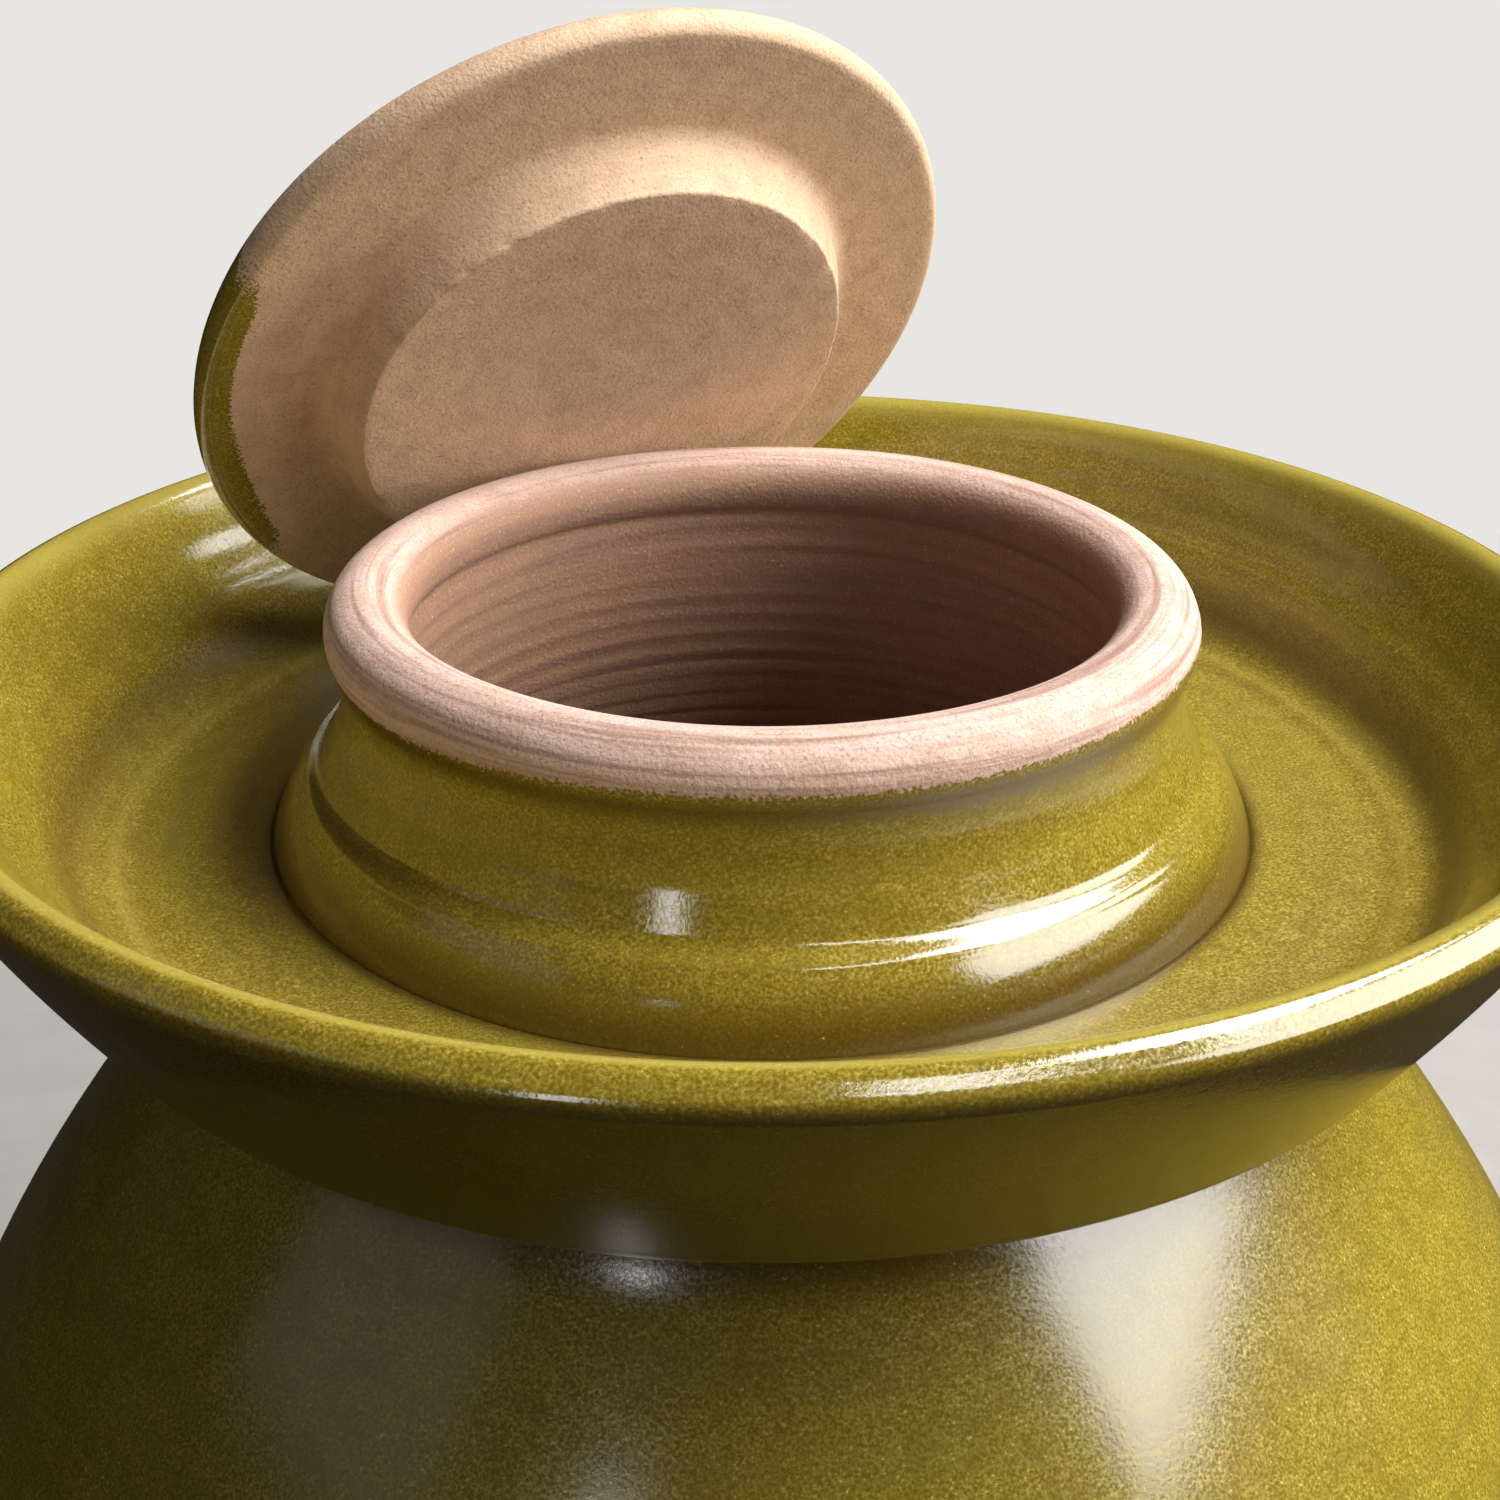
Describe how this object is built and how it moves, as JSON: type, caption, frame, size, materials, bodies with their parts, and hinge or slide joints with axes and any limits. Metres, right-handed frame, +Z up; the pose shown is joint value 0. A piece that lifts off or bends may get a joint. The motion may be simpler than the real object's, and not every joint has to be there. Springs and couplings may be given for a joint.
{
  "type": "water seal pickle jar",
  "caption": "Glazed stoneware pickle jar with a wide water trough round its neck, an unglazed inner lid with a plug standing in the trough, and a bowl-shaped cover set down behind it.",
  "frame": {"origin": "centre of the flat foot, on the surface that the jar stands on", "axes": "+Z up along the jar's axis, -Y towards the front, from which the picture looks; the lid stands in the trough behind the neck, and the cover lies behind the jar"},
  "size_m": [0.29, 0.471, 0.4218],
  "materials": {
    "glazed_stoneware": "glossy speckled olive glaze",
    "bare_clay": "unglazed, fine grit"
  },
  "bodies": {
    "jar": {"jar_body": "glazed_stoneware", "water_trough": "glazed_stoneware", "neck_collar": "glazed_stoneware"},
    "lid": {"inner_lid": "bare_clay", "lid_knob": "glazed_stoneware"},
    "cover": {"cover_bowl": "glazed_stoneware", "cover_grip_ring": "glazed_stoneware"}
  },
  "joints": [
    {"name": "lid_lift", "type": "slide", "parent": "jar", "child": "lid", "axis": [0, 0, 1], "range_m": [0, 0.15]},
    {"name": "cover_lift", "type": "slide", "parent": "jar", "child": "cover", "axis": [0, 0, 1], "range_m": [0, 0.15]}
  ]
}
